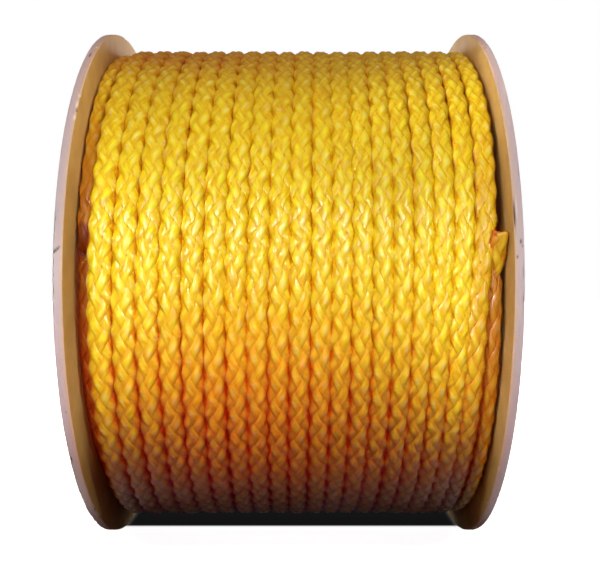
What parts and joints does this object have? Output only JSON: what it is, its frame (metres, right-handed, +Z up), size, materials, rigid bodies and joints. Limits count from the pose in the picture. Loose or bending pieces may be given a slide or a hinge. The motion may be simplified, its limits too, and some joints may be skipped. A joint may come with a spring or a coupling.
{
  "type": "rope reel",
  "caption": "Reel of yellow hollow braided polypropylene line, wound on a paper tube between thin round board flanges with a spindle bore.",
  "frame": {"origin": "on the surface that the reel lies on, below the middle of the reel", "axes": "+X along the axle line towards the flange with the nuts, +Z up, -Y towards the side where the line's free end shows"},
  "size_m": [0.1522, 0.2032, 0.2032],
  "materials": {
    "flange_board": "raw fibre board, smooth face, cut rim",
    "paper_tube": "spiral wound paper",
    "plug_board": "particle board",
    "bushing_steel": "zinc plated",
    "bolt_steel": "zinc plated",
    "braided_line": "glossy braided polypropylene"
  },
  "bodies": {
    "root": {"left_flange": "flange_board", "right_flange": "flange_board", "core_tube": "paper_tube", "left_hub_plug": "plug_board", "right_hub_plug": "plug_board", "left_arbor_bushing": "bushing_steel", "right_arbor_bushing": "bushing_steel", "tie_bolts": "bolt_steel", "head_washers": "bolt_steel", "nut_washers": "bolt_steel", "tie_nuts": "bolt_steel", "line_inner_layers": "braided_line", "line_outer_layer": "braided_line"}
  },
  "joints": []
}
